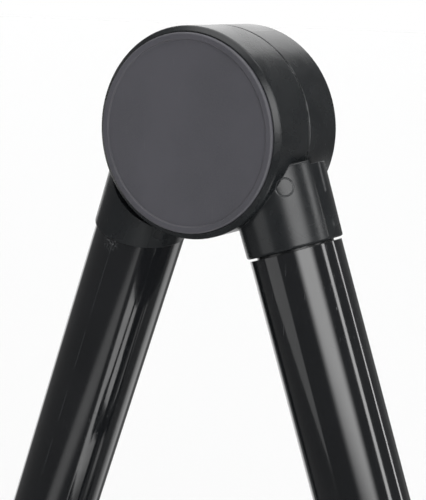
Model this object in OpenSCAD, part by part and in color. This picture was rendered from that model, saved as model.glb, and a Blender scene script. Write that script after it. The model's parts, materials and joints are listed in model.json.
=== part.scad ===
// Folding A-frame album stand: two round legs on a friction drum hinge,
// cross bars for feet, and a ledge of two swing-out arms below a padded back rest.
// Millimetres. +Z is up, the hinge axis lies along X, and the album side faces -Y.

/* [Stand] */
// Opening of each leg from the vertical, in degrees
half_angle = 19; // [15:0.5:24]
// Hinge axis to foot bar axis, measured along a leg
leg_length = 372; // [310:1:450]
// Gap between the two necks when the stand is folded flat
fold_gap = 0.8; // [0.6:0.1:6]

/* [Drum hinge] */
// Radius of the drum
drum_r = 27.9; // [26.5:0.1:34]
// Mid plane to the end of the drum's wall
drum_half = 16.1; // [15.6:0.1:20]
// Gap between the two drum halves
seam_gap = 0.6; // [0.3:0.1:1.2]
// Radius of the snap-in end caps
cap_r = 26.2; // [25.2:0.1:32]
// Width of the raised rim round each end cap
cap_rim_w = 1.75; // [1.2:0.05:2.6]
// Height of that rim over the cap's disc
cap_rim_h = 0.5; // [0.2:0.05:1]
// Radial gap between the drum and the other half's neck
neck_relief = 2.4; // [1:0.1:3]

/* [Necks and tubes] */
// Outer diameter of the leg tubes
tube_d = 25; // [22:0.5:25.5]
// Wall of the leg tubes
tube_wall = 2; // [1.2:0.1:2.4]
// Radial step from a tube up to the neck's rim
neck_step = 0.55; // [0.2:0.05:0.6]
// Front neck's rim beyond the relief, measured along the leg
neck_len = 5.7; // [5:0.1:16]
// Start of the round neck outside the drum, measured the same way
neck_start = 14.8; // [13:0.1:18]
// Length of each spigot inside its tube
spigot_len = 30; // [20:1:40]
// Gap left between the front neck's rim and its tube
front_tube_gap = 0.6; // [0.1:0.1:1]
// Gap left between the rear neck's rim and its tube
rear_tube_gap = 0.2; // [0.1:0.1:1]
// Lean of the rear neck's rim across its leg, in degrees
rear_rim_lean = 12.5; // [0:0.5:14]

/* [Pivot] */
// Diameter of the pivot bolt
bolt_d = 8; // [6:0.5:9]
// Radial running clearance on the bolt
run_gap = 0.05; // [0.02:0.01:0.1]
// Diameter of the pin that stops the opening
stop_pin_d = 5; // [4:0.5:5.5]

/* [Feet] */
// Length of each foot bar
foot_bar_len = 280; // [240:5:360]
// Outer diameter of the foot bars
foot_bar_d = 20; // [18:0.5:20]
// Wall of the foot bars
foot_bar_wall = 1.5; // [1:0.1:2.5]
// Foot bar axis above the floor
foot_h = 15.5; // [15:0.1:17]
// Width of the flat sole under each foot cap
sole_w = 16; // [12:0.5:18]

/* [Album rest] */
// Ledge bar position along the front leg, from the hinge axis
ledge_t = 290; // [260:1:310]
// Back rest bar position along the front leg, from the hinge axis
backrest_t = 150; // [135:1:200]
// Outer diameter of the ledge and back rest bars
bar_d = 16; // [14:0.5:17]
// Wall of those bars
bar_wall = 1.5; // [1:0.1:2]
// Gap between the front leg tube and those bars
bar_gap = 3.5; // [3:0.1:10]
// Middle of the stand to the middle of each arm's hub
arm_x = 78; // [60:1:110]
// Bar axis to the front face of the arm's lip
arm_reach = 66; // [50:1:90]
// Height of the lip over the bar axis
lip_h = 30; // [20:1:40]
// Width of each arm
arm_w = 20; // [14:1:22]
// Thickness of each arm and its lip
arm_th = 9; // [7:0.5:11]

/* [Hidden] */
$fn = 96;

// Clearance of pieces that are fixed together
fit_gap = 0.05;
// Small overlap that keeps cuts clean
eps = 0.5;

tube_r = tube_d / 2;
bore_r = tube_r - tube_wall;
neck_r = tube_r + neck_step;
neck_draft = 0.3;
relief_r = drum_r + neck_relief;
neck_end = relief_r + neck_len;
// The leg axes lie this far from the hinge axis, so that the legs fold side by side
leg_offset = neck_r + neck_draft + fold_gap / 2;
spigot_r = bore_r - fit_gap;
spigot_wall = 2.95;
core_r = spigot_r - spigot_wall;
// How far that core runs on into a hinge neck and into a foot joint's neck
neck_core = 2.5;
foot_core = 12;

// The rear rim's middle is nearer the hinge, and it is lowest on this side of its leg
rear_neck_end = neck_end - 1.1;
rear_rim_turn = -12;
// Where the fine parting lines run down the necks
front_line_turn = -106;
rear_line_turn = 44;
line_w = 0.18;
line_h = 0.1;
bar_r = bar_d / 2;
foot_r = foot_bar_d / 2;

// Drum, from the mid plane outwards
seam = seam_gap / 2;
web_face = 7;
cap_depth = 2.75;
cap_seat = drum_half - cap_depth;
cap_top = drum_half + 0.8;
cavity_r = cap_r - 2.7;
shoulder = 1.1;
// The neck's top edge steps down beyond this distance inside the mid plane
parting_x = 3.7;
parting_drop = 1.1;

// Pivot stack
bolt_r = bolt_d / 2;
hex_r = bolt_d * 0.94;
boss_r = hex_r + 3.5;
boss_face = 9;
recess_r = boss_r - 1.5;
washer_r = recess_r - 0.5;
spring_r = recess_r - 0.7;
pocket_r = boss_r - 2.5;
rib_face = 7.8;
rib_th = 1.8;
head_seat = 6.5;
washer_seat = 3.5;
washer_th = 1.6;
spring_h = 1.45;
spring_face = washer_seat + fit_gap + washer_th + spring_h;
nut_h = 6;
disc_r = 18;
disc_gap = 0.2;
disc_half = 0.95;
stop_r = disc_r + 1.1 + stop_pin_d / 2;
stop_depth = 5.5;

// Screws
screw_r = 1.75;
head_r = 3.4;
head_h = 2.2;
leg_screw_t = neck_end + spigot_len / 2;
foot_neck = 30;
foot_screw_t = leg_length - foot_neck - spigot_len / 2;

// Feet
foot_neck_r = tube_r + 0.2;
barrel_r = foot_r + 3.2;
barrel_len = 46;
foot_cap_r = foot_r + 2.8;
foot_cap_len = 30;
foot_cap_end = 6;
// The foot screw's head sits this deep in the barrel
foot_screw_sink = 1.4;

// Album rest
bar_reach = tube_r + bar_gap + bar_r;
bracket_wall = 3;
bracket_half = 22;
bracket_screw_z = 16.5;
bracket_barrel_r = bar_r + 3.5;
bracket_barrel_len = 32;
hub_r = bar_r + 5;
hub_len = arm_w + 8;
hub_in = arm_x - hub_len / 2;
hub_out = arm_x + hub_len / 2;
bar_half = hub_out + 0.75;
wave_gap = 0.05;
arm_pin_r = 1.5;
arm_pin_x = hub_in + 2.2;
arm_pin_top = bar_r + 3.2;
arm_pin_root = 3;
arm_slot_len = 4.2;
arm_fold = 90;
lip_r = arm_th / 2;
arm_root_extra = 2;
pad_th = 2.5;
sleeve_in = 19;

// The stand is centred over its own outline
hinge_h = foot_h + leg_length * cos(half_angle) - leg_offset * sin(half_angle);
foot_y = leg_offset * cos(half_angle) + leg_length * sin(half_angle);
back_y = foot_y + max(foot_cap_r, barrel_r);
front_y = (leg_offset + bar_reach + arm_reach - lip_r) * cos(half_angle)
    + ledge_t * sin(half_angle) + lip_r;
hinge_y = (front_y - back_y) / 2;

// ---- Frames -------------------------------------------------------------
// Hinge frame of one leg: origin on the hinge axis, the leg hangs along -Z at y = -leg_offset
module on_front() {
    translate([0, hinge_y, hinge_h]) rotate([-half_angle, 0, 0]) children();
}

module on_rear() {
    translate([0, hinge_y, hinge_h]) rotate([0, 0, 180]) rotate([-half_angle, 0, 0]) children();
}

// A point on the leg's own axis, t below the hinge axis
module on_leg(t) {
    translate([0, -leg_offset, -t]) children();
}

// Turns +Z shapes to point outwards along -X, to the drum's own end cap
module to_cap() {
    rotate([0, -90, 0]) children();
}

module along_x() {
    rotate([0, 90, 0]) children();
}

module both_sides() {
    children();
    mirror([1, 0, 0]) children();
}

// ---- Repeated shapes ----------------------------------------------------
module tube(r, wall, len) {
    difference() {
        cylinder(r = r, h = len);
        translate([0, 0, -eps]) cylinder(r = r - wall, h = len + 2 * eps);
    }
}

module ring(r_in, r_out, h) {
    difference() {
        cylinder(r = r_out, h = h);
        translate([0, 0, -eps]) cylinder(r = r_in, h = h + 2 * eps);
    }
}

// Pan head screw: the head's seat at z = 0, the shank along -Z
module pan_screw(len) {
    rotate_extrude()
        polygon([[0, -len], [screw_r * 0.6, -len], [screw_r, -len + 1.2], [screw_r, 0], [head_r, 0],
            [head_r, head_h * 0.45], [head_r * 0.86, head_h * 0.8], [head_r * 0.6, head_h], [0, head_h]]);
}

// A pan head with its cross slot cut
module cross_screw(len) {
    difference() {
        pan_screw(len);
        for (turn = [0, 90])
            rotate([0, 0, turn])
                translate([-head_r * 0.55, -0.4, head_h - 1.1]) cube([head_r * 1.1, 0.8, 2]);
    }
}

// Round post with a softened rim at z = 0, drafted towards r_far at z = h
module rim_post(r_rim, r_far, h, soft) {
    rotate_extrude()
        polygon([[0, 0], [r_rim - soft, 0], [r_rim - soft * 0.3, soft * 0.3], [r_rim, soft],
            [r_far, h - soft], [r_far - soft * 0.3, h - soft * 0.3], [r_far - soft, h], [0, h]]);
}

// Tapered spigot, pointing along -Z from z = 0, with its root inside the neck
module spigot_post(root = eps) {
    rotate_extrude()
        polygon([[0, root], [spigot_r, root], [spigot_r, -spigot_len + 2],
            [spigot_r - 1, -spigot_len], [0, -spigot_len]]);
}

// All that lies above (side = 1) or below (side = -1) a rim that leans across the leg at t
module past_rim(t, lean, side) {
    reach = 4 * neck_r;
    on_leg(t) rotate([0, 0, rear_rim_turn]) rotate([0, lean, 0])
        translate([-reach, -reach, side > 0 ? 0 : -reach]) cube([2 * reach, 2 * reach, reach]);
}

// ---- Drum hinge ---------------------------------------------------------
// Half drum with its shoulder band, from the mid plane outwards
module drum_body() {
    to_cap() rotate_extrude($fn = 180)
        polygon([[0, seam], [drum_r - 0.15, seam], [drum_r, seam + 0.15],
            [drum_r, drum_half - shoulder - 0.2], [drum_r - 0.15, drum_half - shoulder + 0.1],
            [cap_r + 0.45, drum_half - 0.15], [cap_r + 0.25, drum_half], [0, drum_half]]);
}

// Round neck and spigot of one half, on the leg's axis, with the middle of its rim at rim_t
module neck_body(rim_t, lean, line_turn) {
    drop = neck_r * tan(lean);
    post_end = lean > 0 ? rim_t + drop + 2 : rim_t;
    difference() {
        on_leg(post_end) {
            rim_post(neck_r, neck_r + neck_draft, post_end - neck_start, 0.5);
            // Fine parting lines down both sides of the neck
            for (turn = [0, 180])
                rotate([0, 0, line_turn + turn]) translate([neck_r - 1, -line_w / 2, 0.6])
                    cube([1 + neck_draft / 2 + line_h, line_w, post_end - neck_start - 3]);
        }
        // The side under the other drum half is a little lower at its top
        on_leg(neck_start + parting_drop) translate([-parting_x, -2 * neck_r, 0])
            cube([4 * neck_r, 4 * neck_r, parting_drop + 2]);
        if (lean > 0)
            past_rim(rim_t, lean, -1);
    }
    on_leg(neck_end) spigot_post(neck_end - rim_t + drop + eps);
}

// Cavity behind the cap, with a boss and six ribs left standing
module drum_cavity() {
    to_cap() {
        difference() {
            translate([0, 0, web_face]) cylinder(r = cavity_r, h = drum_half);
            cylinder(r = boss_r, h = boss_face);
            for (turn = [30 : 60 : 330])
                rotate([0, 0, turn]) translate([0, -rib_th / 2, 0]) cube([cavity_r + 1, rib_th, rib_face]);
        }
        translate([0, 0, cap_seat]) cylinder(r = cap_r + 0.15, h = drum_half, $fn = 180);
    }
}

// What both halves share
module hinge_half(rim_t, lean, line_turn) {
    difference() {
        union() {
            drum_body();
            neck_body(rim_t, lean, line_turn);
        }
        drum_cavity();
        // Relief round the other half's drum
        translate([-seam, 0, 0]) along_x() cylinder(r = relief_r, h = 2 * drum_half, $fn = 180);
        // Pivot bore
        to_cap() translate([0, 0, -eps]) cylinder(r = bolt_r + run_gap, h = 2 * drum_half);
        // Pocket for the friction disc
        to_cap() translate([0, 0, -eps]) difference() {
            cylinder(r = disc_r + disc_gap, h = disc_half + run_gap + eps);
            cylinder(r = pocket_r, h = drum_half);
        }
        // The spigot and the neck are cored from below
        on_leg(neck_end + spigot_len + eps) cylinder(r = core_r, h = spigot_len + eps + neck_core);
    }
}

module leg_screw_hole(t, side) {
    on_leg(t) scale([side, 1, 1]) along_x() cylinder(r = screw_r, h = tube_r, $fn = 32);
}

module front_hinge_half() {
    color([0.10, 0.11, 0.12]) on_front() difference() {
        hinge_half(neck_end, 0, front_line_turn);
        // Hexagon recess that holds the bolt's head
        to_cap() translate([0, 0, head_seat]) cylinder(r = hex_r + fit_gap, h = drum_half, $fn = 6);
        translate([-stop_depth, 0, stop_r]) along_x() cylinder(d = stop_pin_d, h = drum_half, $fn = 48);
        leg_screw_hole(leg_screw_t, 1);
    }
}

module rear_hinge_half() {
    color([0.10, 0.11, 0.12]) on_rear() difference() {
        hinge_half(rear_neck_end, rear_rim_lean, rear_line_turn);
        // Round recess for the washer, the disc spring and the nut
        to_cap() translate([0, 0, washer_seat]) cylinder(r = recess_r, h = drum_half);
        // Curved slot that the stop pin runs in
        mirror([0, 1, 0]) to_cap() translate([0, 0, -eps]) stop_slot();
        leg_screw_hole(leg_screw_t, -1);
    }
}

// Slot over the whole fold, from the open stop to the folded one, with radial ends
module stop_slot() {
    slot_r = stop_pin_d / 2 + run_gap;
    end_angle = asin(slot_r / stop_r);
    rotate([0, 0, -end_angle]) rotate_extrude(angle = 2 * half_angle + 2 * end_angle)
        translate([stop_r - slot_r, 0]) square([2 * slot_r, stop_depth + eps]);
}

// Snap-in cap: a flat disc inside a raised rim, and a skirt behind
module hinge_cap() {
    rim_in = cap_r - cap_rim_w;
    skirt = cavity_r - fit_gap;
    disc = cap_top - cap_rim_h;
    color([0.20, 0.20, 0.22]) to_cap() rotate_extrude($fn = 180)
        polygon([[0, disc - 2.3], [skirt - 1.1, disc - 2.3], [skirt - 1.1, cap_seat - 2.8],
            [skirt, cap_seat - 2.8], [skirt, cap_seat], [cap_r, cap_seat], [cap_r, cap_top - 0.45],
            [cap_r - 0.15, cap_top - 0.2], [cap_r - 0.5, cap_top], [rim_in + 0.1, cap_top],
            [rim_in, cap_top - 0.1], [rim_in - 0.12, disc], [0, disc]]);
}

module left_hinge_cap() {
    on_front() hinge_cap();
}

module right_hinge_cap() {
    on_rear() hinge_cap();
}

// ---- Pivot stack --------------------------------------------------------
// The bolt's head sits on the -X side and its nut on the +X side
module pivot_bolt() {
    head_depth = bolt_d * 0.66;
    color([0.72, 0.73, 0.75]) on_front() {
        to_cap() translate([0, 0, head_seat]) difference() {
            cylinder(r = hex_r, h = head_depth, $fn = 6);
            translate([0, 0, head_depth - 0.4]) ring(hex_r * 0.84, hex_r * 1.2, 1);
        }
        translate([-head_seat - 0.2, 0, 0]) along_x()
            cylinder(r = bolt_r, h = head_seat + 0.2 + spring_face + nut_h + 0.8);
    }
}

module pivot_washer() {
    color([0.72, 0.73, 0.75]) on_front() translate([washer_seat + fit_gap, 0, 0])
        along_x() ring(bolt_r, washer_r, washer_th);
}

module disc_spring() {
    color([0.55, 0.56, 0.58]) on_front() translate([washer_seat + fit_gap + washer_th, 0, 0])
        along_x() rotate_extrude()
            polygon([[bolt_r, spring_h - 1], [bolt_r, spring_h], [bolt_r + 0.6, spring_h],
                [spring_r, 1], [spring_r, 0], [spring_r - 0.6, 0]]);
}

module lock_nut() {
    color([0.72, 0.73, 0.75]) on_front() translate([spring_face, 0, 0]) along_x() difference() {
        union() {
            cylinder(r = hex_r, h = nut_h - 1.5, $fn = 6);
            cylinder(r = hex_r * 0.8, h = nut_h);
        }
        translate([0, 0, -eps]) cylinder(r = bolt_r, h = nut_h + 2 * eps);
    }
}

module friction_disc() {
    color([0.85, 0.84, 0.78]) on_front() translate([-disc_half - run_gap, 0, 0])
        along_x() ring(pocket_r + disc_gap, disc_r, 2 * disc_half);
}

module stop_pin() {
    color([0.60, 0.61, 0.63]) on_front() translate([-stop_depth, 0, stop_r])
        along_x() cylinder(d = stop_pin_d, h = 2 * stop_depth - 0.6, $fn = 48);
}

// ---- Legs ---------------------------------------------------------------
module leg_tube(top) {
    bottom = leg_length - foot_neck - fit_gap;
    on_leg(bottom) tube(tube_r, tube_wall, bottom - top);
}

// Hole through the tube's wall for a screw that comes from +X or -X
module tube_side_hole(t, side) {
    on_leg(t) scale([side, 1, 1]) along_x() cylinder(r = screw_r, h = tube_r + 1, $fn = 32);
}

module tube_front_holes(t) {
    for (z = [-bracket_screw_z, bracket_screw_z])
        on_leg(t - z) rotate([90, 0, 0]) cylinder(r = screw_r, h = tube_r + 1, $fn = 32);
}

module front_leg_tube() {
    color([0.04, 0.045, 0.05]) on_front() difference() {
        leg_tube(neck_end + front_tube_gap);
        tube_side_hole(leg_screw_t, 1);
        tube_side_hole(foot_screw_t, 1);
        tube_front_holes(backrest_t);
        tube_front_holes(ledge_t);
    }
}

// Its top end is cut to the lean of the neck's rim
module rear_leg_tube() {
    drop = neck_r * tan(rear_rim_lean);
    color([0.04, 0.045, 0.05]) on_rear() difference() {
        leg_tube(rear_neck_end - drop - 2);
        past_rim(rear_neck_end + rear_tube_gap / cos(rear_rim_lean), rear_rim_lean, 1);
        tube_side_hole(leg_screw_t, -1);
        tube_side_hole(foot_screw_t, -1);
    }
}

// One screw into the neck's spigot and one into the foot joint's
module leg_screws(side) {
    for (t = [leg_screw_t, foot_screw_t])
        on_leg(t) translate([side * tube_r, 0, 0]) rotate([0, side * 90, 0]) cross_screw(8);
}

module front_leg_screws() {
    color([0.15, 0.15, 0.16]) on_front() leg_screws(1);
}

module rear_leg_screws() {
    color([0.15, 0.15, 0.16]) on_rear() leg_screws(-1);
}

// ---- Feet ---------------------------------------------------------------
// T-shaped joint: spigot and neck up the leg, barrel along X round the foot bar
module foot_joint(side) {
    color([0.10, 0.11, 0.12]) on_leg(leg_length) difference() {
        union() {
            mirror([0, 0, 1]) translate([0, 0, -foot_neck])
                rim_post(foot_neck_r, foot_neck_r, foot_neck, 0.5);
            translate([0, 0, foot_neck]) mirror([0, 0, 1]) spigot_post();
            for (flip = [0, 1])
                mirror([flip, 0, 0]) along_x() translate([0, 0, barrel_len / 2])
                    mirror([0, 0, 1]) rim_post(barrel_r, barrel_r, barrel_len / 2 + 1, 0.6);
        }
        translate([-barrel_len, 0, 0]) along_x() cylinder(r = foot_r + fit_gap, h = 2 * barrel_len);
        translate([0, 0, foot_neck - foot_core]) cylinder(r = core_r, h = spigot_len + foot_core + eps);
        translate([0, 0, foot_neck + spigot_len / 2]) scale([side, 1, 1])
            along_x() cylinder(r = screw_r, h = tube_r, $fn = 32);
        // Sunk seat for the screw under the barrel
        translate([0, 0, -barrel_r - 1]) cylinder(r = head_r + 0.2, h = foot_screw_sink + 1, $fn = 48);
        translate([0, 0, -barrel_r - 1]) cylinder(r = screw_r, h = barrel_r - foot_r + 2.8, $fn = 32);
    }
}

module front_foot_joint() {
    on_front() foot_joint(1);
}

module rear_foot_joint() {
    on_rear() foot_joint(-1);
}

module foot_bar() {
    color([0.04, 0.045, 0.05]) on_leg(leg_length) difference() {
        translate([-foot_bar_len / 2, 0, 0]) along_x() tube(foot_r, foot_bar_wall, foot_bar_len);
        translate([0, 0, -2 * foot_r]) cylinder(r = screw_r, h = 2 * foot_r, $fn = 32);
    }
}

module front_foot_bar() {
    on_front() foot_bar();
}

module rear_foot_bar() {
    on_rear() foot_bar();
}

module foot_screw() {
    color([0.15, 0.15, 0.16]) on_leg(leg_length) translate([0, 0, -barrel_r + foot_screw_sink])
        rotate([180, 0, 0]) cross_screw(6);
}

module front_foot_screw() {
    on_front() foot_screw();
}

module rear_foot_screw() {
    on_rear() foot_screw();
}

// Soft cap on the +X end of a foot bar, flat sole on the floor
module foot_cap() {
    inner = foot_bar_len / 2 + foot_cap_end - foot_cap_len;
    color([0.07, 0.07, 0.07]) translate([inner, 0, foot_h]) difference() {
        union() {
            along_x() rotate_extrude()
                polygon([[0, 0], [foot_cap_r - 0.8, 0], [foot_cap_r, 0.8],
                    [foot_cap_r, foot_cap_len - 4],
                    for (turn = [15 : 15 : 90])
                        [foot_cap_r - 4 + 4 * cos(turn), foot_cap_len - 4 + 4 * sin(turn)],
                    [0, foot_cap_len]]);
            translate([2, 0, 0]) rotate([90, 0, 90]) linear_extrude(foot_cap_len - 7)
                polygon([[-sole_w / 2 - 1.5, -foot_h / 2], [-sole_w / 2, -foot_h + 1],
                    [-sole_w / 2 + 1, -foot_h], [sole_w / 2 - 1, -foot_h],
                    [sole_w / 2, -foot_h + 1], [sole_w / 2 + 1.5, -foot_h / 2]]);
        }
        translate([-eps, 0, 0]) along_x()
            cylinder(r = foot_r + fit_gap, h = foot_cap_len - foot_cap_end + eps);
        // Two grip grooves across the sole
        for (x = [8, 15])
            translate([x, 0, -foot_h]) rotate([90, 0, 0])
                cylinder(r = 1, h = 3 * sole_w, center = true, $fn = 24);
    }
}

module front_left_foot() {
    translate([0, hinge_y - foot_y, 0]) mirror([1, 0, 0]) foot_cap();
}

module front_right_foot() {
    translate([0, hinge_y - foot_y, 0]) foot_cap();
}

module rear_left_foot() {
    translate([0, hinge_y + foot_y, 0]) mirror([1, 0, 0]) foot_cap();
}

module rear_right_foot() {
    translate([0, hinge_y + foot_y, 0]) foot_cap();
}

// ---- Album rest ---------------------------------------------------------
module on_bar(t) {
    on_front() on_leg(t) translate([0, -bar_reach, 0]) children();
}

// Saddle on the front of the leg tube, with a barrel that the bar passes through
module bar_bracket(t) {
    saddle_r = tube_r + bracket_wall;
    color([0.10, 0.11, 0.12]) on_front() on_leg(t) difference() {
        union() {
            intersection() {
                translate([0, 0, -bracket_half]) rim_post(saddle_r, saddle_r, 2 * bracket_half, 0.8);
                translate([-saddle_r - 1, -saddle_r - 1, -bracket_half - 1])
                    cube([2 * saddle_r + 2, saddle_r + 1, 2 * bracket_half + 2]);
            }
            hull() {
                translate([-bracket_barrel_len / 2, -bar_reach, 0]) along_x()
                    cylinder(r = bracket_barrel_r, h = bracket_barrel_len, $fn = 48);
                translate([0, -tube_r - 0.6, 0]) cube([20, 1, 2 * bracket_barrel_r], center = true);
            }
        }
        translate([0, 0, -2 * bracket_half]) cylinder(r = tube_r + fit_gap, h = 4 * bracket_half);
        translate([-bracket_barrel_len, -bar_reach, 0]) along_x()
            cylinder(r = bar_r + fit_gap, h = 2 * bracket_barrel_len);
        for (z = [-bracket_screw_z, bracket_screw_z])
            translate([0, 0, z]) rotate([90, 0, 0]) cylinder(r = screw_r, h = 2 * tube_r, $fn = 32);
    }
}

module ledge_bracket() {
    bar_bracket(ledge_t);
}

module backrest_bracket() {
    bar_bracket(backrest_t);
}

module bracket_screws() {
    color([0.15, 0.15, 0.16]) on_front()
        for (t = [backrest_t, ledge_t], z = [-bracket_screw_z, bracket_screw_z])
            on_leg(t - z) translate([0, -tube_r - bracket_wall, 0]) rotate([90, 0, 0]) cross_screw(9);
}

// Cross bar with a radial hole for each arm's stop pin
module ledge_bar() {
    color([0.04, 0.045, 0.05]) on_bar(ledge_t) difference() {
        translate([-bar_half, 0, 0]) along_x() tube(bar_r, bar_wall, 2 * bar_half);
        for (side = [-1, 1])
            translate([side * arm_pin_x, 0, 0]) cylinder(r = arm_pin_r, h = 2 * bar_r, $fn = 32);
    }
}

module backrest_bar() {
    color([0.04, 0.045, 0.05]) on_bar(backrest_t)
        translate([-bar_half, 0, 0]) along_x() tube(bar_r, bar_wall, 2 * bar_half);
}

module backrest_sleeve() {
    color([0.09, 0.09, 0.09]) translate([sleeve_in, 0, 0]) along_x()
        difference() {
            rim_post(hub_r, hub_r, bar_half - sleeve_in, 1);
            translate([0, 0, -eps]) cylinder(r = bar_r + fit_gap, h = bar_half);
        }
}

module left_backrest_sleeve() {
    on_bar(backrest_t) mirror([1, 0, 0]) backrest_sleeve();
}

module right_backrest_sleeve() {
    on_bar(backrest_t) backrest_sleeve();
}

// Domed plug on the +X end of a bar
module bar_cap() {
    plug_r = bar_r - bar_wall - fit_gap;
    color([0.10, 0.11, 0.12]) translate([bar_half, 0, 0]) along_x() rotate_extrude()
        polygon([[0, -12], [plug_r - 0.8, -12], [plug_r, -11], [plug_r, 0], [bar_r + 2, 0],
            [bar_r + 2, 1.2], [bar_r + 1.4, 2.4], [bar_r, 3.3], [bar_r * 0.6, 4], [0, 4.2]]);
}

module backrest_bar_caps() {
    on_bar(backrest_t) both_sides() bar_cap();
}

module ledge_bar_caps() {
    on_bar(ledge_t) both_sides() bar_cap();
}

// Side outline of an arm, y along the bar's outward direction and z up
module arm_outline() {
    tip = [-arm_reach + lip_r, 0];
    // The arm's top is level and its underside deepens towards the hub
    hull() {
        translate([0, -arm_root_extra]) circle(r = lip_r + arm_root_extra);
        translate(tip) circle(r = lip_r);
    }
    hull() {
        translate([tip.x, lip_h - lip_r]) circle(r = lip_r);
        translate(tip) circle(r = lip_r);
        translate([tip.x + lip_r - 1, 1 - lip_r]) circle(r = 1);
    }
}

// Arm on the +X side: a hub on the ledge bar, a flat arm and an upturned lip
module support_arm() {
    color([0.10, 0.11, 0.12]) difference() {
        union() {
            translate([hub_in, 0, 0]) along_x() rim_post(hub_r, hub_r, hub_len, 0.8);
            translate([arm_x - arm_w / 2, 0, 0]) rotate([90, 0, 90])
                linear_extrude(arm_w) arm_outline($fn = 40);
        }
        translate([hub_in - eps, 0, 0]) along_x() cylinder(r = bar_r + run_gap, h = hub_len + 2 * eps);
        // Slot for the stop pin over the arm's whole swing
        translate([hub_in + arm_slot_len, 0, 0]) arm_slot();
    }
}

// Runs from straight up at rest to the arm's own direction when it is folded
module arm_slot() {
    slot_r = arm_pin_r + run_gap;
    out_r = arm_pin_top + 0.3;
    mirror([1, 0, 0]) {
        rotate([180, 0, 0]) along_x() rotate_extrude(angle = arm_fold) square([out_r, arm_slot_len + eps]);
        for (turn = [0, arm_fold])
            rotate([turn, 0, 0]) translate([0, -slot_r, 0]) cube([arm_slot_len + eps, 2 * slot_r, out_r]);
    }
}

module left_arm() {
    on_bar(ledge_t) mirror([1, 0, 0]) support_arm();
}

module right_arm() {
    on_bar(ledge_t) support_arm();
}

// Soft strip along the arm's top and up the inside of the lip
module arm_pad() {
    top = lip_r;
    inner = -arm_reach + arm_th;
    color([0.07, 0.07, 0.07]) translate([arm_x - arm_w / 2 + 1.5, 0, 0]) rotate([90, 0, 90])
        linear_extrude(arm_w - 3)
            polygon([[-hub_r - 0.6, top], [inner, top], [inner, lip_h - 5], [inner + 1, lip_h - 4.2],
                [inner + pad_th, lip_h - 6], [inner + pad_th, top + pad_th],
                [-hub_r - 1.6, top + pad_th], [-hub_r - 0.6, top + pad_th - 1]]);
}

module left_arm_pad() {
    on_bar(ledge_t) mirror([1, 0, 0]) arm_pad();
}

module right_arm_pad() {
    on_bar(ledge_t) arm_pad();
}

module arm_stop_pins() {
    color([0.60, 0.61, 0.63]) on_bar(ledge_t) for (side = [-1, 1])
        translate([side * arm_pin_x, 0, bar_r - arm_pin_root])
            cylinder(r = arm_pin_r, h = arm_pin_top - bar_r + arm_pin_root, $fn = 32);
}

module arm_wave_washers() {
    color([0.60, 0.61, 0.63]) on_bar(ledge_t) both_sides()
        translate([hub_out + wave_gap, 0, 0]) along_x() ring(bar_r, bar_r + 1.9, 0.7);
}

front_hinge_half();
rear_hinge_half();
left_hinge_cap();
right_hinge_cap();
pivot_bolt();
pivot_washer();
disc_spring();
lock_nut();
friction_disc();
stop_pin();
front_leg_tube();
rear_leg_tube();
front_leg_screws();
rear_leg_screws();
front_foot_joint();
rear_foot_joint();
front_foot_bar();
rear_foot_bar();
front_foot_screw();
rear_foot_screw();
front_left_foot();
front_right_foot();
rear_left_foot();
rear_right_foot();
ledge_bracket();
backrest_bracket();
bracket_screws();
ledge_bar();
backrest_bar();
left_backrest_sleeve();
right_backrest_sleeve();
backrest_bar_caps();
ledge_bar_caps();
left_arm();
right_arm();
left_arm_pad();
right_arm_pad();
arm_stop_pins();
arm_wave_washers();
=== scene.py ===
"""Looks of the folding album stand: materials, studio light and camera round the CAD frame."""
import json
import math

import bpy
from mathutils import Matrix, Vector

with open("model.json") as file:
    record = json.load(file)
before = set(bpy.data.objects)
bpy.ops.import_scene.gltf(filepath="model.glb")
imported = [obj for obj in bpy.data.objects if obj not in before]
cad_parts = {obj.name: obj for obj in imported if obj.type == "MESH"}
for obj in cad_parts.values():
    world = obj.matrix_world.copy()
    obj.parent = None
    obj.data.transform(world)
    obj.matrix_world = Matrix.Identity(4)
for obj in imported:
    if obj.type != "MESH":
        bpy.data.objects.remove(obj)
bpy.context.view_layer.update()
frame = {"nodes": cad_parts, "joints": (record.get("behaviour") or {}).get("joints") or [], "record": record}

NODES = frame["nodes"]
JOINTS = {joint["name"]: joint for joint in frame["joints"]}
HINGE = Vector(JOINTS["main_fold"]["pos_m"])
# The main fold closes both legs, so each stands open by half of its range
LEG_TILT = math.radians(abs(JOINTS["main_fold"]["range_deg"][0])) / 2
MM = 0.001
# The legs' axes pass this far from the hinge's, and the round parts on them have these radii
LEG_OFFSET = 13.75 * MM
NECK_R = 13.2 * MM
TUBE_R = 12.5 * MM


def on_leg(front, down, turn, radius):
    """Place and rotation of a frame on a leg's round surface: local Z points out of it, local Y up the leg.
    turn is in degrees from the leg's outer side, and on the front leg it goes towards +X."""
    angle = math.radians(turn)
    place = Vector((radius * math.sin(angle), -LEG_OFFSET - radius * math.cos(angle), -down))
    out = Vector((math.sin(angle), -math.cos(angle), 0))
    up = Vector((0, 0, 1))
    lean = Matrix.Rotation(-LEG_TILT, 3, "X")
    if not front:
        lean = Matrix.Rotation(math.pi, 3, "Z") @ lean
    axes = Matrix((lean @ up.cross(out), lean @ up, lean @ out)).transposed()
    return HINGE + lean @ place, axes.to_euler()


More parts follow.
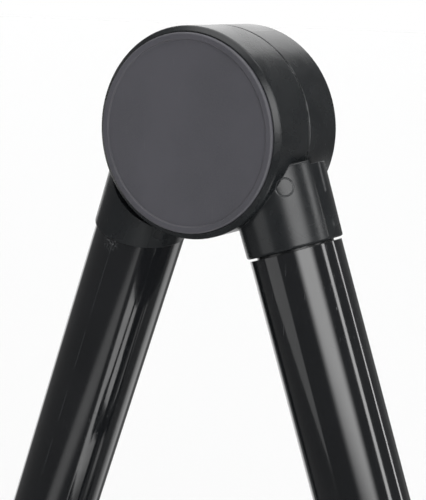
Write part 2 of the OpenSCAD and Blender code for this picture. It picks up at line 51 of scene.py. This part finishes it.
# ---- Node helpers ---------------------------------------------------------
class Graph:
    """A material's node tree with short calls for the nodes used below."""

    def __init__(self, name):
        self.material = bpy.data.materials.new(name)
        self.material.use_nodes = True
        self.tree = self.material.node_tree
        self.shader = self.tree.nodes["Principled BSDF"]
        self.coords = self.node("ShaderNodeTexCoord").outputs["Object"]

    def node(self, kind, **settings):
        made = self.tree.nodes.new(kind)
        for key, value in settings.items():
            setattr(made, key, value)
        return made

    def link(self, source, target):
        self.tree.links.new(source, target)

    def put(self, value, socket):
        """Links a socket, or sets a plain value."""
        if isinstance(value, bpy.types.NodeSocket):
            self.link(value, socket)
        else:
            socket.default_value = value

    def mapped(self, scale, rotation):
        made = self.node("ShaderNodeMapping")
        self.link(self.coords, made.inputs["Vector"])
        made.inputs["Rotation"].default_value = rotation
        made.inputs["Scale"].default_value = scale
        return made.outputs["Vector"]

    def noise(self, scale, detail, roughness, vector=None, distortion=0.0):
        made = self.node("ShaderNodeTexNoise")
        self.link(vector or self.coords, made.inputs["Vector"])
        made.inputs["Scale"].default_value = scale
        made.inputs["Detail"].default_value = detail
        made.inputs["Roughness"].default_value = roughness
        made.inputs["Distortion"].default_value = distortion
        return made.outputs["Fac"]

    def cells(self, scale, feature="F1"):
        made = self.node("ShaderNodeTexVoronoi", feature=feature)
        self.link(self.coords, made.inputs["Vector"])
        made.inputs["Scale"].default_value = scale
        return made.outputs["Distance"]

    def spread(self, value, low, high, to_low=0.0, to_high=1.0):
        """Maps low..high smoothly to to_low..to_high, and holds it there."""
        made = self.node("ShaderNodeMapRange", interpolation_type="SMOOTHSTEP")
        self.put(value, made.inputs["Value"])
        made.inputs["From Min"].default_value = low
        made.inputs["From Max"].default_value = high
        made.inputs["To Min"].default_value = to_low
        made.inputs["To Max"].default_value = to_high
        return made.outputs["Result"]

    def math(self, operation, a, b=0.0):
        made = self.node("ShaderNodeMath", operation=operation)
        self.put(a, made.inputs[0])
        self.put(b, made.inputs[1])
        return made.outputs["Value"]

    def product(self, a, b):
        return self.math("MULTIPLY", a, b)

    def length(self, a, b):
        return self.math("SQRT", self.math("ADD", self.product(a, a), self.product(b, b)))

    def mix(self, factor, a, b):
        made = self.node("ShaderNodeMix", data_type="RGBA")
        self.put(factor, made.inputs["Factor"])
        self.put((*a, 1) if isinstance(a, tuple) else a, made.inputs["A"])
        self.put((*b, 1) if isinstance(b, tuple) else b, made.inputs["B"])
        return made.outputs["Result"]

    def bump(self, height, distance, strength=1.0, normal=None):
        made = self.node("ShaderNodeBump")
        self.put(height, made.inputs["Height"])
        made.inputs["Distance"].default_value = distance
        made.inputs["Strength"].default_value = strength
        if normal is not None:
            self.link(normal, made.inputs["Normal"])
        return made.outputs["Normal"]

    def soft_edges(self, radius):
        """Normals rounded over sharp edges, as a moulded or pressed edge is."""
        made = self.node("ShaderNodeBevel", samples=6)
        made.inputs["Radius"].default_value = radius
        return made.outputs["Normal"]

    def edge_wear(self, rounded):
        """1 where the rounded normal leaves the true one, along edges."""
        geometry = self.node("ShaderNodeNewGeometry")
        dot = self.node("ShaderNodeVectorMath", operation="DOT_PRODUCT")
        self.link(rounded, dot.inputs[0])
        self.link(geometry.outputs["Normal"], dot.inputs[1])
        return self.spread(dot.outputs["Value"], 0.98, 0.84)

    def axes(self, vector):
        made = self.node("ShaderNodeSeparateXYZ")
        self.link(vector, made.inputs[0])
        return made.outputs

    def moved(self, location, rotation=(0, 0, 0)):
        """Object coordinates as seen from a local frame in the part."""
        made = self.node("ShaderNodeMapping", vector_type="TEXTURE")
        self.link(self.coords, made.inputs["Vector"])
        made.inputs["Location"].default_value = location
        made.inputs["Rotation"].default_value = rotation
        return made.outputs["Vector"]

    def line(self, distance, half_width):
        """1 on a line, fading to 0 at half_width from it."""
        return self.spread(self.math("ABSOLUTE", distance), half_width, 0.0)

    def outside(self, height):
        """1 near the surface a local frame stands on, 0 deeper in, to keep a mark off the part's far side."""
        return self.spread(height, -2 * MM, -1 * MM)

    def scratches(self, rotation, along, across, cut=0.74):
        """Thin straight marks: noise stretched hard one way, cut to its peaks."""
        stretched = self.mapped((across, across, along), rotation)
        lines = self.noise(1.0, 1.0, 0.4, stretched)
        patches = self.noise(55.0, 2.0, 0.5)
        return self.product(self.spread(lines, cut, cut + 0.05), self.spread(patches, 0.5, 0.62))

    def finish(self, colour, roughness, normal, **plain):
        self.put((*colour, 1) if isinstance(colour, tuple) else colour, self.shader.inputs["Base Color"])
        self.put(roughness, self.shader.inputs["Roughness"])
        self.link(normal, self.shader.inputs["Normal"])
        for key, value in plain.items():
            self.shader.inputs[key.replace("_", " ")].default_value = value
        return self.material


# ---- Materials ------------------------------------------------------------
def moulded_plastic(name, ejector=None):
    """Satin black moulding: faint flow mottling, fine grain, rubbed edges, a few scuffs. An ejector mark is
    a fine ring pressed into the surface at the given frame."""
    g = Graph(name)
    rounded = g.soft_edges(0.45 * MM)
    wear = g.product(g.edge_wear(rounded), g.spread(g.noise(420, 3, 0.6), 0.42, 0.62))
    flow = g.noise(60, 4, 0.55, distortion=0.6)
    scuffs = g.scratches((0.5, 0.9, 0.2), 60, 2600)
    marks = g.math("MAXIMUM", g.product(wear, 0.5), g.product(scuffs, 0.6))
    colour = g.mix(g.spread(flow, 0.35, 0.65), (0.0105, 0.012, 0.0135), (0.0165, 0.0185, 0.020))
    colour = g.mix(g.product(marks, 0.35), colour, (0.085, 0.088, 0.09))
    roughness = g.math("ADD", g.spread(flow, 0.3, 0.7, 0.21, 0.31), g.product(marks, 0.22))
    # A broken pale line is painted round the mouldings where they cross the middle plane: on the drum's seam
    # it is a painted highlight where the seam's edges catch the light, and elsewhere a guessed mould burr
    across = g.axes(g.moved(HINGE))["X"]
    seam_highlight_and_burr = g.product(g.line(across, 0.9 * MM), g.spread(g.noise(130, 3, 0.6), 0.44, 0.56))
    colour = g.mix(g.product(seam_highlight_and_burr, 0.55), colour, (0.16, 0.163, 0.167))
    waves = g.bump(g.noise(190, 2, 0.5), 0.05 * MM, 0.35, rounded)
    grain = g.bump(g.noise(5200, 2, 0.6), 0.006 * MM, 0.5, waves)
    if ejector is not None:
        x, y, z = g.axes(g.moved(*ejector))
        ring = g.line(g.math("SUBTRACT", g.length(x, y), 2.3 * MM), 0.28 * MM)
        ring = g.product(ring, g.outside(z))
        colour = g.mix(g.product(ring, 0.5), colour, (0.075, 0.078, 0.08))
        grain = g.bump(ring, -0.08 * MM, 0.9, grain)
    return g.finish(colour, roughness, grain, IOR=1.5)


def cap_plastic(name):
    """Matte dark grey disc with a fine spark-eroded grain and a few faint scratches."""
    g = Graph(name)
    rounded = g.soft_edges(0.2 * MM)
    cloud = g.noise(48, 4, 0.55)
    speck = g.noise(3400, 3, 0.7)
    scuffs = g.math("MAXIMUM", g.scratches((0.7, 0.1, 0.4), 90, 2400, 0.72),
                    g.scratches((-0.5, 0.2, 0.9), 120, 2900, 0.74))
    wear = g.product(g.edge_wear(rounded), 0.5)
    colour = g.mix(g.spread(cloud, 0.35, 0.65), (0.060, 0.059, 0.071), (0.077, 0.075, 0.091))
    colour = g.mix(g.spread(speck, 0.25, 0.75), colour, (0.080, 0.079, 0.090))
    # Pale lines painted along both edges of the raised rim are painted highlights, where those edges catch
    # the light
    from_axis = g.axes(g.moved(HINGE))
    radius = g.length(from_axis["Y"], from_axis["Z"])
    rim_highlight_lines = g.math("MAXIMUM", g.line(g.math("SUBTRACT", radius, 24.4 * MM), 0.3 * MM),
                   g.line(g.math("SUBTRACT", radius, 26.0 * MM), 0.35 * MM))
    rim_highlight_lines = g.product(rim_highlight_lines, g.spread(g.noise(60, 3, 0.6), 0.3, 0.6, 0.3, 1.0))
    marks = g.math("MAXIMUM", g.product(scuffs, 0.3), g.product(wear, 0.4))
    marks = g.math("MAXIMUM", marks, g.product(rim_highlight_lines, 0.45))
    # The scuffs and rubbed edges in this mix are real wear; the rim lines in it are painted highlights
    colour = g.mix(marks, colour, (0.17, 0.17, 0.18))
    roughness = g.spread(speck, 0.2, 0.8, 0.5, 0.62)
    normal = g.bump(speck, 0.02 * MM, 0.45, rounded)
    return g.finish(colour, roughness, normal, IOR=1.45)


def gloss_tube(name, rotation, seam=None, scuff=None):
    """Gloss black coat on tube: orange peel, fine draw lines along it, light rubbing. The rotation turns its
    length to Z. A weld seam runs along it through the seam's frame. A rubbed patch lies at the scuff's."""
    g = Graph(name)
    turned = g.mapped((1, 1, 1), rotation)
    rounded = g.soft_edges(0.3 * MM)
    stretched = g.mapped((2200, 2200, 9), rotation)
    lines = g.noise(1.0, 2.0, 0.5, stretched)
    fine = g.product(g.spread(lines, 0.66, 0.72), g.spread(g.noise(38, 2, 0.5, turned), 0.5, 0.62))
    dust = g.product(g.spread(g.noise(1500, 2, 0.6), 0.7, 0.76), g.spread(g.noise(26, 2, 0.5), 0.48, 0.62))
    marks = g.math("MAXIMUM", g.product(fine, 0.55), g.product(dust, 0.5))
    tint = g.spread(g.noise(30, 2, 0.5), 0.35, 0.65)
    colour = g.mix(tint, (0.0062, 0.0070, 0.0082), (0.0090, 0.0098, 0.0112))
    colour = g.mix(g.product(marks, 0.4), colour, (0.10, 0.105, 0.11))
    roughness = g.math("ADD", g.spread(g.noise(240, 2, 0.5), 0.3, 0.7, 0.075, 0.12), g.product(marks, 0.25))
    peel = g.bump(g.noise(330, 2, 0.4), 0.012 * MM, 0.5, rounded)
    drawn = g.bump(lines, 0.002 * MM, 0.4, peel)
    if seam is not None:
        local = g.axes(g.moved(*seam))
        weld = g.product(g.line(local["X"], 0.22 * MM), g.outside(local["Z"]))
        weld = g.product(weld, g.spread(g.noise(90, 3, 0.6), 0.35, 0.55))
        colour = g.mix(g.product(weld, 0.35), colour, (0.06, 0.062, 0.066))
        drawn = g.bump(weld, 0.03 * MM, 0.8, drawn)
    if scuff is not None:
        local = g.moved(*scuff)
        x, y, z = g.axes(local)
        patch = g.product(g.spread(g.length(x, y), 3.2 * MM, 0.6 * MM), g.outside(z))
        rubbed = g.product(patch, g.spread(g.noise(1600, 4, 0.75, local), 0.5, 0.62))
        colour = g.mix(g.product(rubbed, 0.6), colour, (0.16, 0.165, 0.17))
        roughness = g.math("ADD", roughness, g.product(rubbed, 0.35))
        drawn = g.bump(rubbed, -0.03 * MM, 0.8, drawn)
    return g.finish(colour, roughness, drawn, IOR=1.5, Coat_Weight=0.5, Coat_Roughness=0.05)


def plated_steel(name, tint, metallic=1.0):
    """Plated steel with a fine grain and dull patches."""
    g = Graph(name)
    rounded = g.soft_edges(0.15 * MM)
    patches = g.noise(700, 3, 0.6)
    colour = g.mix(g.spread(patches, 0.3, 0.7), tint, tuple(c * 0.72 for c in tint))
    roughness = g.spread(patches, 0.25, 0.75, 0.24, 0.42)
    normal = g.bump(g.noise(4000, 2, 0.6), 0.004 * MM, 0.5, rounded)
    return g.finish(colour, roughness, normal, Metallic=metallic)


def soft_rubber(name):
    """Matte rubber: pebbled skin, dusty high spots, paler rubbed edges."""
    g = Graph(name)
    rounded = g.soft_edges(0.7 * MM)
    pebble = g.cells(1700)
    dust = g.spread(g.noise(300, 4, 0.65), 0.5, 0.72)
    wear = g.product(g.edge_wear(rounded), g.spread(g.noise(500, 3, 0.6), 0.4, 0.65))
    colour = g.mix(g.product(dust, 0.25), (0.0115, 0.0115, 0.012), (0.045, 0.044, 0.042))
    colour = g.mix(g.product(wear, 0.3), colour, (0.07, 0.07, 0.07))
    roughness = g.math("ADD", g.spread(pebble, 0.1, 0.7, 0.55, 0.68), g.product(dust, 0.15))
    skin = g.bump(pebble, 0.03 * MM, 0.5, rounded)
    return g.finish(colour, roughness, skin, IOR=1.5)


def closed_foam(name):
    """Closed-cell foam: small open bubbles on the cut skin, with painted shade darkening their insides, and
    slow dents.
    """
    g = Graph(name)
    bubbles = g.cells(1450, "SMOOTH_F1")
    pore_depth_and_shade = g.spread(bubbles, 0.16, 0.42)
    slow = g.noise(170, 3, 0.5)
    # The open bubbles are painted darker, as painted shade inside them; the same mask gives their depth in
    # the bump
    colour = g.mix(pore_depth_and_shade, (0.006, 0.006, 0.0065), (0.021, 0.021, 0.022))
    colour = g.mix(g.spread(slow, 0.4, 0.7, 0.0, 0.3), colour, (0.032, 0.032, 0.033))
    normal = g.bump(pore_depth_and_shade, 0.16 * MM, 0.7, g.bump(slow, 0.25 * MM, 0.5))
    return g.finish(colour, 0.86, normal, Sheen_Weight=0.15, Sheen_Roughness=0.5)


def natural_nylon(name):
    """Pale uncoloured nylon, slightly mottled."""
    g = Graph(name)
    mottle = g.noise(500, 3, 0.5)
    colour = g.mix(g.spread(mottle, 0.3, 0.7), (0.62, 0.60, 0.52), (0.70, 0.69, 0.62))
    normal = g.bump(g.noise(2500, 2, 0.5), 0.01 * MM, 0.4)
    return g.finish(colour, g.spread(mottle, 0.3, 0.7, 0.38, 0.5), normal)


def paint_nodes():
    """Gives every CAD node its own finish, or else the finish of its slot in the record."""
    along_x = (0, math.radians(90), 0)
    finishes = {
        "moulded_black": moulded_plastic("moulded_black"),
        "cap_grey": cap_plastic("cap_grey"),
        "steel": plated_steel("steel", (0.62, 0.63, 0.64)),
        "black_screw": plated_steel("black_screw", (0.045, 0.045, 0.048), 0.7),
        "nylon": natural_nylon("nylon"),
        "soft_rubber": soft_rubber("soft_rubber"),
        "foam": closed_foam("foam"),
        "gloss_tube": gloss_tube("gloss_tube", along_x),
    }
    # The rear leg faces the other way, so a turn of 90 on it is the near, -X side
    own = {
        "front_hinge_half": moulded_plastic("moulded_front_half", on_leg(True, 20.2 * MM, -54, NECK_R)),
        "front_leg_tube": gloss_tube("gloss_front_leg", (LEG_TILT, 0, 0)),
        "rear_leg_tube": gloss_tube("gloss_rear_leg", (-LEG_TILT, 0, 0), on_leg(False, 100 * MM, 90, TUBE_R),
                                    on_leg(False, 39 * MM, 87, TUBE_R)),
    }
    for part in frame["record"]["subparts"]:
        name = part["node"]
        mesh = NODES[name].data
        mesh.materials.clear()
        mesh.materials.append(own.get(name) or finishes[part["material_slot"]])


# ---- Stage, light and camera ----------------------------------------------
# The lens stands 388 mm from the hinge, a little above it, and looks down past it
CAMERA_AZIMUTH = -58.23
CAMERA_ELEVATION = 10.51
CAMERA_ROLL = 1.28
CAMERA_OFFSET = Vector((-328.4, -202.6, 38.5)) * MM

# Studio cards as the hinge sees them, in degrees: azimuth from the camera's own, elevation,
# half width, half height, softness of the edge, and radiance
ROOM = 0.15
CARDS = {
    "backdrop": (180, 32, 30, 30, 4, 1.25),
    "backdrop_low": (-168, -15, 20, 16, 4, 0.8),
    "sweep_right": (132, -31, 13, 8, 7, 1.0),
    "key": (16, 16, 19, 14, 8, 4.4),
    "strip_right": (69, 14, 4, 20, 1.5, 5.4),
    "table_left": (-20, -35.5, 26, 4, 2.5, 0.85),
    "table_front": (42, -43, 24, 5.5, 2, 2.4),
    "table_right": (81, -42, 5, 6, 1.5, 0.9),
    "overhead": (0, 90, 180, 36, 8, 2.0),
}
# Hard-edged cards that only the named pieces receive: azimuth from the camera's own, elevation,
# width and height in degrees, radiance, and the pieces
NEAR_CARDS = {
    "low_left": (-66, -7, 34, 27, 0.8, ("front_leg_tube", "left_hinge_cap", "front_hinge_half")),
    "strip_far_right": (104, 8, 5, 40, 4.6, ("front_leg_tube", "rear_leg_tube")),
}
NEAR_CARD_DISTANCE = 1.4


def direction(azimuth, elevation):
    """Unit vector towards an azimuth from -Y, turning to +X, and an elevation, both in degrees."""
    a, e = math.radians(azimuth), math.radians(elevation)
    return Vector((math.sin(a) * math.cos(e), -math.cos(a) * math.cos(e), math.sin(e)))


def make_floor():
    """Plain pale floor, which the glossy parts don't mirror."""
    half = 12.0
    mesh = bpy.data.meshes.new("floor")
    corners = [(-half, -half, 0), (half, -half, 0), (half, half, 0), (-half, half, 0)]
    mesh.from_pydata(corners, [], [(0, 1, 2, 3)])
    floor = bpy.data.objects.new("floor", mesh)
    bpy.context.scene.collection.objects.link(floor)
    g = Graph("floor")
    g.shader.inputs["Base Color"].default_value = (0.84, 0.84, 0.84, 1)
    g.shader.inputs["Roughness"].default_value = 0.6
    g.shader.inputs["Specular IOR Level"].default_value = 0.1
    mesh.materials.append(g.material)
    floor.visible_glossy = False


def make_near_cards():
    """The cards that only some pieces receive, as area lights the camera doesn't see."""
    for name, (azimuth, elevation, wide, high, radiance, pieces) in NEAR_CARDS.items():
        data = bpy.data.lights.new(name, "AREA")
        data.shape = "RECTANGLE"
        data.size = 2 * NEAR_CARD_DISTANCE * math.tan(math.radians(wide / 2))
        data.size_y = 2 * NEAR_CARD_DISTANCE * math.tan(math.radians(high / 2))
        data.energy = radiance * math.pi * data.size * data.size_y
        lamp = bpy.data.objects.new(name, data)
        towards = direction(CAMERA_AZIMUTH + azimuth, elevation)
        lamp.location = HINGE + towards * NEAR_CARD_DISTANCE
        lamp.rotation_euler = towards.to_track_quat("Z", "Y").to_euler()
        lamp.visible_camera = False
        receivers = bpy.data.collections.new(name + "_receivers")
        for piece in pieces:
            receivers.objects.link(NODES[piece])
        lamp.light_linking.receiver_collection = receivers
        bpy.context.scene.collection.objects.link(lamp)


def world_math(tree, operation, a, b=0.0, c=0.0):
    made = tree.nodes.new("ShaderNodeMath")
    made.operation = operation
    for value, socket in zip((a, b, c), made.inputs):
        if isinstance(value, bpy.types.NodeSocket):
            tree.links.new(value, socket)
        else:
            socket.default_value = value
    return made.outputs["Value"]


def window(tree, offset, half, soft):
    """1 where offset is within half of a card's middle, 0 outside it, with a soft edge."""
    made = tree.nodes.new("ShaderNodeMapRange")
    made.interpolation_type = "SMOOTHSTEP"
    tree.links.new(world_math(tree, "ABSOLUTE", offset), made.inputs["Value"])
    made.inputs["From Min"].default_value = half + soft
    made.inputs["From Max"].default_value = half - soft
    return made.outputs["Result"]


def make_world():
    """A dim room with soft light cards in it, and white where the camera looks past the floor."""
    world = bpy.data.worlds.new("studio")
    bpy.context.scene.world = world
    world.use_nodes = True
    tree = world.node_tree
    coords = tree.nodes.new("ShaderNodeTexCoord")
    split = tree.nodes.new("ShaderNodeSeparateXYZ")
    tree.links.new(coords.outputs["Generated"], split.inputs[0])
    x, y, z = split.outputs
    level = world_math(tree, "ARCTAN2", x, world_math(tree, "MULTIPLY", y, -1.0))
    azimuth = world_math(tree, "MULTIPLY", level, math.degrees(1))
    elevation = world_math(tree, "MULTIPLY", world_math(tree, "ARCSINE", z), math.degrees(1))
    light = ROOM
    for side, height, half_wide, half_high, soft, radiance in CARDS.values():
        turned = world_math(tree, "SUBTRACT", azimuth, side + CAMERA_AZIMUTH)
        turned = world_math(tree, "WRAP", turned, 180.0, -180.0)
        across = window(tree, turned, half_wide, soft)
        up = window(tree, world_math(tree, "SUBTRACT", elevation, height), half_high, soft)
        card = world_math(tree, "MULTIPLY", across, up)
        light = world_math(tree, "MULTIPLY_ADD", card, radiance, light)
    room = tree.nodes["Background"]
    tree.links.new(light, room.inputs["Strength"])
    room.inputs["Color"].default_value = (1, 1, 1, 1)
    backdrop = tree.nodes.new("ShaderNodeBackground")
    backdrop.inputs["Color"].default_value = (1, 1, 1, 1)
    path = tree.nodes.new("ShaderNodeLightPath")
    mix = tree.nodes.new("ShaderNodeMixShader")
    tree.links.new(path.outputs["Is Camera Ray"], mix.inputs["Fac"])
    tree.links.new(room.outputs["Background"], mix.inputs[1])
    tree.links.new(backdrop.outputs["Background"], mix.inputs[2])
    tree.links.new(mix.outputs["Shader"], tree.nodes["World Output"].inputs["Surface"])


def make_camera():
    """The camera at the photograph's angle, rolled slightly."""
    data = bpy.data.cameras.new("camera")
    data.lens = 103.3
    data.clip_start = 0.01
    data.clip_end = 60
    camera = bpy.data.objects.new("camera", data)
    back = direction(CAMERA_AZIMUTH, CAMERA_ELEVATION)
    aim = back.to_track_quat("Z", "Y").to_matrix().to_4x4()
    roll = Matrix.Rotation(math.radians(CAMERA_ROLL), 4, "Z")
    camera.matrix_world = Matrix.Translation(HINGE + CAMERA_OFFSET) @ aim @ roll
    bpy.context.scene.collection.objects.link(camera)
    bpy.context.scene.camera = camera


make_camera()
make_floor()
make_world()
make_near_cards()
paint_nodes()
bpy.context.scene.view_settings.view_transform = "Standard"
